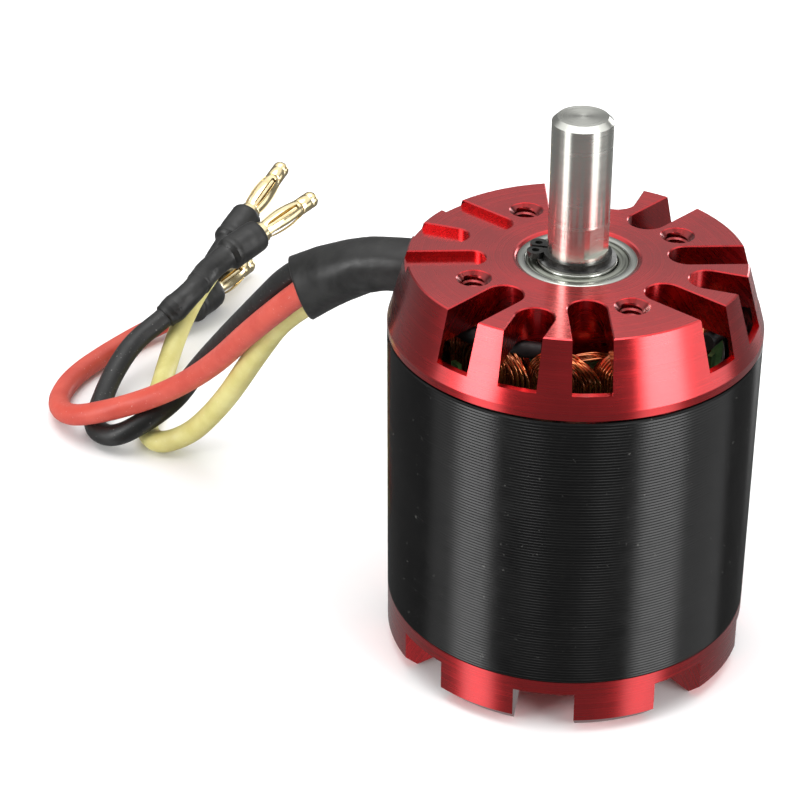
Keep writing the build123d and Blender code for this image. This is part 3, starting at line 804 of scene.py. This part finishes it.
def make_sleeve(lines):
    """Heat-shrink over the three leads: tight at the outlet, loose and round at its open end."""
    guide = centreline(SLEEVE_ROUTE)
    length = path_length(guide)
    distances = [length * i / SLEEVE_STEPS for i in range(SLEEVE_STEPS + 1)]
    rings = []
    for index, (point, tangent, _, _) in enumerate(frames_along(resampled(guide, distances))):
        share = index / SLEEVE_STEPS
        facing = tangent.lerp(MOUTH_FACING, eased((share - 0.4) / 0.6) * 0.85).normalized()
        side = facing.cross(UP).normalized()
        up = side.cross(facing)
        ways = directions(side, up, SLEEVE_STEPS)
        reach = sleeve_reach(point, facing, ways, lines, eased((share - 0.25) / 0.75))
        ring = []
        for step, spot in enumerate(support_outline(reach, side, up, SLEEVE_STEPS)):
            relief = sleeve_relief(point + spot, share, 360 * step / SLEEVE_STEPS)
            ring.append(point + spot + spot.normalized() * relief)
        rings.append(ring)
    lip = rings[-1]
    ahead = (centre_of(lip) - centre_of(rings[-2])).normalized()
    for scale, shift in ((0.975, 0.0002), (0.93, 0.0002), (0.9, -0.004)):
        rings.append(shrunk(lip, scale, ahead * shift))
    piece = mesh_piece("lead_bundle_sleeve", skin(rings), "black_heat_shrink", 60.0)
    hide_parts("lead_sleeve")
    return piece


# ---------- plugs

# (radius, distance from the lead's end) in mm, as are the sizes of the nose and the spring.
PLUG_SHAPE = [
    (1.95, 0.02), (2.05, 0.12), (2.05, 4.9), (1.95, 5.0), (1.9, 5.05), (1.9, 5.95),
    (1.82, 6.15), (1.25, 6.2), (1.12, 6.32), (1.1, 6.6), (1.1, 14.2), (1.12, 14.48),
    (1.3, 14.6), (1.44, 14.66), (1.5, 14.78), (1.5, 16.65), (1.42, 16.78), (1.42, 16.92),
    (1.5, 17.05), (1.5, 17.5),
]
PLUG_SEGMENTS = 48
NOSE_R = 1.1
NOSE_TIP_R = 0.4
NOSE_FROM = 17.5
NOSE_STEPS = 10
SPRING_FROM = 6.25
SPRING_TO = 14.45
SPRING_R = 1.47
SPRING_BULGE = 0.5
SPRING_WALL = 0.2
SPRING_BAND = 0.55
SPRING_LEAVES = 5
LEAF_STEPS = 24
LEAF_ACROSS = 8


def plug_places(colour):
    """A function that places points in the frame of the plug on a lead's end."""
    before, end = (Vector(place) * MM for place in LEAD_ROUTES[colour][-2:])
    along = (end - before).normalized()
    side = along.cross(UP).normalized()
    up = side.cross(along)

    def place(r, angle, z):
        return end + (side * (r * cos(angle)) + up * (r * sin(angle)) + along * z) * MM

    return place


def turned_rings(place, profile):
    """Rings round the plug's own axis, one for each (radius, distance)."""
    angles = [2 * pi * k / PLUG_SEGMENTS for k in range(PLUG_SEGMENTS)]
    return [[place(r, angle, z) for angle in angles] for r, z in profile]


def spring_leaf(place, middle):
    """One leaf of the spring, narrower where it bulges."""
    sections = []
    for step in range(LEAF_STEPS + 1):
        share = step / LEAF_STEPS
        bulge = sin(pi * share) ** 0.8
        radius = SPRING_R + SPRING_BULGE * bulge
        half = pi / SPRING_LEAVES * (0.97 - 0.42 * min(1.0, 2.4 * bulge))
        z = SPRING_FROM + (SPRING_TO - SPRING_FROM) * share
        angles = [middle + half * (2 * k / LEAF_ACROSS - 1) for k in range(LEAF_ACROSS + 1)]
        section = [place(radius, angle, z) for angle in angles]
        section += [place(radius - SPRING_WALL, angle, z) for angle in reversed(angles)]
        sections.append(section)
    return skin(sections, close_ends=True)


def spring_band(place, low, high):
    """A ring that the leaves end in."""
    outline = [(1.25, low), (1.48, low), (1.52, low + 0.1)]
    outline += [(1.52, high - 0.1), (1.48, high), (1.25, high)]
    return skin(turned_rings(place, outline), wrap=True)


def make_plug(colour):
    """Gold bullet plug: a turned pin with a domed nose, and a bulged spring of thin leaves."""
    place = plug_places(colour)
    profile = list(PLUG_SHAPE)
    for step in range(1, NOSE_STEPS + 1):
        angle = radians(90 * step / NOSE_STEPS)
        r, z = NOSE_TIP_R + NOSE_R * cos(angle), NOSE_FROM + NOSE_R * sin(angle)
        profile.append((r, z))
    shape = skin(turned_rings(place, profile), close_ends=True)
    pin = mesh_piece(f"bullet_pin_{colour}", shape, "gold_plate", 40.0)
    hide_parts(f"plug_pin_{colour}")
    middles = [2 * pi * (leaf + 0.2) / SPRING_LEAVES for leaf in range(SPRING_LEAVES)]
    parts = [spring_leaf(place, middle) for middle in middles]
    parts.append(spring_band(place, SPRING_FROM - 0.02, SPRING_FROM + SPRING_BAND))
    parts.append(spring_band(place, SPRING_TO - SPRING_BAND, SPRING_TO + 0.02))
    spring = mesh_piece(f"bullet_spring_{colour}", joined(parts), "gold_plate", 40.0)
    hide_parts(f"plug_spring_{colour}")
    return [pin, spring]


# ---------- can

CAN_INNER_R = 23.0
CAN_BOTTOM = 8.2
CAN_TOP = 48.5
GROOVE_PITCH = 0.43
GROOVE_DEPTH = 0.09
# Share of the pitch and share of the depth along one groove.
GROOVE_SHAPE = ((0.0, 0.0), (0.25, 0.55), (0.5, 1.0), (0.75, 0.55))


def make_can():
    """The can's wall with its turned grooves: sharp crests and hollow valleys."""
    grooves = round((CAN_TOP - CAN_BOTTOM - 0.5) / GROOVE_PITCH)
    margin = (CAN_TOP - CAN_BOTTOM - grooves * GROOVE_PITCH) / 2
    profile = [(CAN_INNER_R, CAN_BOTTOM), (CAN_R - 0.12, CAN_BOTTOM), (CAN_R, CAN_BOTTOM + 0.12)]
    for index in range(grooves):
        base = CAN_BOTTOM + margin + index * GROOVE_PITCH
        for share, sink in GROOVE_SHAPE:
            profile.append((CAN_R - GROOVE_DEPTH * sink, base + GROOVE_PITCH * share))
    profile += [(CAN_R, CAN_TOP - margin), (CAN_R, CAN_TOP - 0.14)]
    profile += [(CAN_R - 0.14, CAN_TOP), (CAN_INNER_R, CAN_TOP)]
    can = mesh_piece("grooved_can", lathe(profile, 216), "black_can", 30.0, "rotor")
    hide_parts("flux_ring")


# ---------- windings

TOOTH_COUNT = 12
TOOTH_PITCH = 360 / TOOTH_COUNT
FIRST_TOOTH = 19.0
WIRE_R = 0.2
COIL_LAYERS = 7
LAYER_STEP = 0.36
COIL_TOP = 52.2
COIL_BOTTOM = 10.4
COIL_INNER_R = 12.95
COIL_OUTER_R = 18.45
COIL_SLOPE = tan(radians(14.0))
CORNER_STEPS = 7
# Radius and inset of the rings that the mass of wire is skinned over.
CORE_RINGS = ((13.2, 1.15), (13.5, 0.7), (15.6, 0.5), (16.9, 0.55), (17.95, 2.1))
TOOTH_HALF_WIDTH = 1.76
TOOTH_BOTTOM = 15.2
TOOTH_TOP = 46.8


def rounded_loop(middle_r, skew, half_width, bottom, top, corner, rng):
    """One turn of wire round a tooth along +X, skewed so that it crosses its layer."""
    corner = min(corner, half_width - 0.05)
    shift = rng.uniform(-0.04, 0.04)
    outline = rounded_box(-half_width, half_width, bottom, top, corner, CORNER_STEPS)
    return [Vector((middle_r + skew * y / half_width + shift, y, z)) * MM for y, z in outline]


def closed_tube(points):
    """A turn of wire along a closed line of points."""
    rings = []
    for index, point in enumerate(points):
        tangent = (points[(index + 1) % len(points)] - points[index - 1]).normalized()
        side = tangent.cross(Vector((1, 0, 0))).normalized()
        ways = directions(side, side.cross(tangent), 6)
        rings.append([point + way * (WIRE_R * MM) for way in ways])
    return skin(rings, wrap=True)


def coil_parts(rng):
    """Wire turns in layers that step back at both ends, for a tooth along +X."""
    parts = []
    pitch = 2 * WIRE_R + 0.02
    for layer in range(COIL_LAYERS):
        above = COIL_LAYERS - 1 - layer
        inset = layer * LAYER_STEP
        last_r = COIL_OUTER_R - 0.3 * above - WIRE_R
        first_r = COIL_INNER_R + 0.06 * above + WIRE_R
        count = int((last_r - first_r) / pitch) + 1
        for index in range(count):
            hidden = layer and 0 < index < count - 3
            if hidden:
                continue
            middle_r = last_r - (count - 1 - index) * pitch
            half_width = middle_r * COIL_SLOPE - WIRE_R - inset + rng.uniform(-0.07, 0.03)
            rise = 1.9 * max(0.0, min(1.0, (middle_r - 14.2) / 2.4))
            top = COIL_TOP - WIRE_R - 0.8 * inset + rise - rng.uniform(0.0, 0.25)
            bottom = COIL_BOTTOM + WIRE_R + 0.8 * inset + rng.uniform(0.0, 0.2)
            skew = 0.3 if 0 < index < count - 1 else 0.1
            skew = rng.uniform(-skew, skew)
            corner = max(0.9, 3.3 - 0.9 * inset)
            loop = rounded_loop(middle_r, skew, half_width, bottom, top, corner, rng)
            parts.append(closed_tube(loop))
    return parts


def coil_core():
    """The closed mass of wire under the visible layers, with the tooth's opening through it."""
    rings = []
    for radius, inset in CORE_RINGS:
        half_width = radius * COIL_SLOPE - inset
        bottom, top = COIL_BOTTOM + inset, COIL_TOP - inset
        rings.append(rounded_loop(radius, 0.0, half_width, bottom, top, 2.2, random.Random(1)))
    near, far = [], []
    for v in rings[0]:
        y = max(-TOOTH_HALF_WIDTH * MM, min(TOOTH_HALF_WIDTH * MM, v.y))
        z = max(TOOTH_BOTTOM * MM, min(TOOTH_TOP * MM, v.z))
        near.append(Vector((CORE_RINGS[0][0] * MM, y, z)))
        far.append(Vector((CORE_RINGS[-1][0] * MM, y, z)))
    return skin([near] + rings + [far], wrap=True)


def make_windings():
    """The three phases, each with its wire turns on four teeth."""
    for phase, letter in enumerate("abc"):
        rng = random.Random(40 + phase)
        parts = []
        first = 2 * phase
        for tooth in (first, first + 1, first + 6, first + 7):
            turn = Matrix.Rotation(radians(FIRST_TOOTH + TOOTH_PITCH * tooth), 3, "Z")
            for verts, faces in coil_parts(rng) + [coil_core()]:
                parts.append(([turn @ v for v in verts], faces))
        name = f"winding_{letter}"
        winding = mesh_piece(name, joined(parts), "enamelled_copper", 70.0)
        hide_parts(f"phase_{letter}_coils")


JUMPER_STRANDS = 5
JUMPER_Z = 51.95
SLOT_STRANDS = 7
SLOT_STRAND_R = 17.95
SLOT_STRAND_Z = (44.0, 52.5)


def jumper(rng, start):
    """A bunch of wires that runs from one coil to the next over the end turns."""
    sweep = rng.uniform(24.0, 36.0)
    base_r = rng.uniform(13.3, 14.2)
    for strand in range(JUMPER_STRANDS):
        radius = base_r + 0.42 * (strand % 3) + rng.uniform(-0.06, 0.06)
        lift = 0.36 * (strand // 3)
        points = []
        for step in range(17):
            share = step / 16
            from_middle = abs(2 * share - 1)
            sway = 0.12 * sin(9 * share + strand)
            height = JUMPER_Z + lift - 1.5 * from_middle**5 + sway
            out_r = radius + 1.2 * from_middle**4
            points.append(around_axis(out_r, radians(start + sweep * share), height))
        yield round_tube(points, WIRE_R * MM, 7)


def slot_strands(rng, middle):
    """Wires that rise out of the slot between two teeth and lean over to one of them."""
    toward = rng.choice((-1.0, 1.0))
    low, high = SLOT_STRAND_Z
    for strand in range(SLOT_STRANDS):
        first = middle + (strand - 3) * 1.15 + rng.uniform(-0.2, 0.2)
        start_r = SLOT_STRAND_R - 0.3 * (strand % 2)
        crest = high + 0.3 * (strand % 3) + rng.uniform(-0.1, 0.1)
        points = []
        for step in range(19):
            share = step / 18
            angle = radians(first + toward * 10.0 * eased((share - 0.35) / 0.65))
            height = low + (crest - low) * sin(0.5 * pi * min(1.0, 1.15 * share))
            out_r = start_r - 1.9 * max(0.0, (share - 0.5) / 0.5) ** 2
            points.append(around_axis(out_r, angle, height))
        yield round_tube(points, WIRE_R * MM, 7)


def make_jumpers():
    """The loose wires over the coils' ends and in the slots."""
    rng = random.Random(7)
    parts = []
    for tooth in range(TOOTH_COUNT):
        parts += jumper(rng, FIRST_TOOTH + TOOTH_PITCH * tooth + rng.uniform(-4, 4))
    for slot in range(TOOTH_COUNT):
        parts += slot_strands(rng, FIRST_TOOTH + TOOTH_PITCH * (slot + 0.5))
    mesh_piece("winding_jumpers", joined(parts), "enamelled_copper", 70.0)


TAIL_R = 1.12
TAIL_Z = 53.15
TAIL_SIDES = 20
# Phase, radius at the start and at the end, angle at the start and at the end.
TAILS = (
    ("a", 20.3, 20.3, -38.0, 144.0),
    ("b", 15.6, 20.3, -110.0, -186.0),
    ("c", 16.8, 16.8, 96.0, 142.0),
)


def make_tails():
    """Sleeved winding ends: slack tubes that wander a little under the cap's plate."""
    for letter, first_r, last_r, first, last in TAILS:
        steps = round(abs(last - first) / 2.5)
        points = []
        for step in range(steps + 1):
            share = step / steps
            angle = radians(first + (last - first) * share)
            fade = min(1.0, 6 * share, 6 * (1 - share))
            sway = noise.noise(Vector((share * 7, ord(letter), 0))) * 0.25 * fade
            lift = noise.noise(Vector((share * 9, 3, ord(letter)))) * 0.2 * fade
            radius = first_r + (last_r - first_r) * share - 0.1 + sway
            points.append(around_axis(radius, angle, TAIL_Z + lift))
        rings = []
        for point, _, side, up in frames_along(points):
            ring = []
            for way in directions(side, up, TAIL_SIDES):
                uneven = wobble(point + way * 0.001, 500.0, 0.00007)
                ring.append(point + way * (TAIL_R * MM + uneven))
            rings.append(ring)
        shape = skin(rings, close_ends=True)
        tail = mesh_piece(f"sleeved_end_{letter}", shape, "black_sleeving", 60.0)
        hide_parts(f"phase_{letter}_tail")


# ---------- threads and bearing

THREAD_R = 1.66
THREAD_CREST = 0.24
THREAD_PITCH = 0.7
THREAD_TURNS = 5.4
THREAD_FROM_Z = 54.75
TURN_STEPS = 28
# Share of the crest's height and distance along the hole, for the thread's section.
THREAD_SECTION = ((0.0, -0.26), (1.0, -0.05), (1.0, 0.05), (0.0, 0.26))


def make_threads():
    """Helical thread crests in the cap's four tapped holes, running out at both ends."""
    parts = []
    total = round(THREAD_TURNS * TURN_STEPS)
    for hole in range(HOLE_COUNT):
        angle = radians(HOLE_AZIMUTH + 90 * hole)
        centre = Vector((HOLE_CIRCLE_R * cos(angle), HOLE_CIRCLE_R * sin(angle), 0))
        rings = []
        for step in range(total + 1):
            turn = 2 * pi * step / TURN_STEPS
            height = THREAD_FROM_Z + THREAD_PITCH * step / TURN_STEPS
            crest = THREAD_CREST * min(1.0, step / 10, (total - step) / 10) + 0.01
            way = Vector((cos(turn), sin(turn), 0))
            ring = []
            for share, z in THREAD_SECTION:
                ring.append((centre + way * (THREAD_R - crest * share) + UP * (height + z)) * MM)
            rings.append(ring)
        parts.append(skin(rings, close_ends=True))
    # Inside the holes red_anodised turns to painted shade, so these crests come out dark.
    mesh_piece("hole_threads", joined(parts), "red_anodised", 30.0)


BEARING_BOTTOM = 53.9
BEARING_TOP = 58.9
BEARING_SEGMENTS = 96
# Piece, CAD node, body, inner and outer radius, corner.
RACES = (
    ("bearing_outer_race", "front_bearing_outer_ring", "stator", 6.75, 8.0, 0.3),
    ("bearing_inner_race", "front_bearing_inner_ring", "rotor", 4.0, 5.25, 0.2),
)
# (radius, height over the bearing's end face) of a pressed shield.
SHIELD_SHAPE = (
    (5.42, -0.52), (5.42, -0.34), (5.5, -0.27), (5.75, -0.24), (6.0, -0.27), (6.12, -0.36),
    (6.24, -0.36), (6.36, -0.26), (6.52, -0.22), (6.64, -0.24), (6.72, -0.34), (6.76, -0.5),
    (6.6, -0.56), (6.0, -0.56),
)


def make_front_bearing():
    """The front bearing's rings and its two shields, the lower one upside down."""
    for name, node, body, inner_r, outer_r, corner in RACES:
        outline = rounded_box(inner_r, outer_r, BEARING_BOTTOM, BEARING_TOP, corner, 3)
        piece = mesh_piece(name, lathe(outline, BEARING_SEGMENTS), "bearing_steel", 50.0, body)
        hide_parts(node)
    upper = [(r, BEARING_TOP + z) for r, z in SHIELD_SHAPE]
    lower = [(r, BEARING_BOTTOM - z) for r, z in reversed(SHIELD_SHAPE)]
    shape = joined([lathe(upper, BEARING_SEGMENTS), lathe(lower, BEARING_SEGMENTS)])
    shields = mesh_piece("pressed_shields", shape, "bearing_shield", 50.0)
    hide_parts("front_bearing_shields")


# ---------- studio

CEILING = 1.25
FRONT_DIMMING = 0.75
OVERHEAD = 2.8
SURROUND = 0.22
# Azimuth from the camera's side, half width, radiance above the floor's level and below it.
SOFT_BOXES = ((-60, 11, 8.0, 1.6), (50, 13, 7.5, 1.3))
# Azimuth, half width and radiance of the low strips that the sides of the motor mirror.
EDGE_BOXES = ((-80, 9, 1.4), (80, 17, 1.6), (140, 12, 4.0))
FLOOR_HALF = 6.0
FLOOR_Z = -0.0001


def step_between(tree, value, first, last):
    """0 below the first angle, 1 above the last, smooth between; the angles are in degrees."""
    first, last = radians(first), radians(last)
    return spread(tree, value, 0.0, 1.0, first, last, interpolation_type="SMOOTHSTEP")


def rest_of(tree, share):
    return math_node(tree, "SUBTRACT", 1.0, share)


def band_of(tree, value, centre, half_width, soft):
    """1 within half a width of the centre, 0 outside, soft at both sides, in degrees."""
    away = math_node(tree, "SUBTRACT", value, radians(centre))
    away = math_node(tree, "ABSOLUTE", away)
    return rest_of(tree, step_between(tree, away, half_width - soft, half_width + soft))


def make_world():
    """Studio light all round: a soft ceiling, tall boxes in front, low strips, dim surround."""
    world = bpy.data.worlds.new("studio")
    bpy.context.scene.world = world
    world.use_nodes = True
    tree = world.node_tree
    backdrop = next(n for n in tree.nodes if n.type == "BACKGROUND")
    x, y, z = separated(tree, add(tree, "TexCoord").outputs["Generated"])
    elevation = math_node(tree, "ARCSINE", z)
    azimuth = math_node(tree, "ARCTAN2", x, product(tree, y, -1.0))
    ahead = band_of(tree, azimuth, 0.0, 40, 12)
    below_top = rest_of(tree, step_between(tree, elevation, 64, 78))
    shade = product(tree, ahead, below_top, FRONT_DIMMING)
    ceiling = product(tree, step_between(tree, elevation, 21, 40), rest_of(tree, shade))
    light = math_node(tree, "MULTIPLY_ADD", ceiling, CEILING - SURROUND, SURROUND)
    tall = rest_of(tree, step_between(tree, elevation, 34, 42))
    above = step_between(tree, elevation, -14, 2)
    for centre, half_width, high, low in SOFT_BOXES:
        column = band_of(tree, azimuth, centre, half_width, 5)
        strength = math_node(tree, "MULTIPLY_ADD", above, high - low, low)
        light = math_node(tree, "ADD", light, product(tree, column, tall, strength))
    low_band = band_of(tree, elevation, 0.0, 12, 5)
    for centre, half_width, radiance in EDGE_BOXES:
        column = band_of(tree, azimuth, centre, half_width, 5)
        light = math_node(tree, "ADD", light, product(tree, column, low_band, radiance))
    overhead = step_between(tree, elevation, 62, 72)
    light = math_node(tree, "MULTIPLY_ADD", overhead, OVERHEAD, light)
    seen = add(tree, "LightPath").outputs["Is Camera Ray"]
    light = add(tree, "Mix", {0: seen, 2: light, 3: 1.0}).outputs[0]
    tree.links.new(light, backdrop.inputs["Strength"])
    backdrop.inputs["Color"].default_value = (1, 1, 1, 1)


def make_floor():
    """White paper that the motor stands on, left out of its reflections."""
    material, tree, shader = new_tree("floor_paper")
    coords = object_coords(tree)
    colour = ramp(tree, noise_node(tree, coords, 6.0), two_tone(grey(0.92), grey(0.94)))
    normal = bump(tree, noise_node(tree, coords, 2500.0), 0.05, 0.00003)
    connect(tree, shader, colour, None, normal)
    set_shader(shader, roughness=0.9, specular_ior_level=0.1)
    mesh = bpy.data.meshes.new("floor")
    corners = ((-1, -1), (1, -1), (1, 1), (-1, 1))
    places = [(x * FLOOR_HALF, y * FLOOR_HALF, FLOOR_Z) for x, y in corners]
    mesh.from_pydata(places, [], [(0, 1, 2, 3)])
    mesh.materials.append(material)
    floor = new_object("floor", mesh)
    floor.visible_glossy = False


def make_studio():
    scene = bpy.context.scene
    scene.view_settings.view_transform = "Standard"
    scene.view_settings.look = "None"
    make_world()
    make_floor()


make_camera()
make_leads()
make_can()
make_windings()
make_jumpers()
make_tails()
make_threads()
make_front_bearing()
dress_cad_nodes()
make_studio()
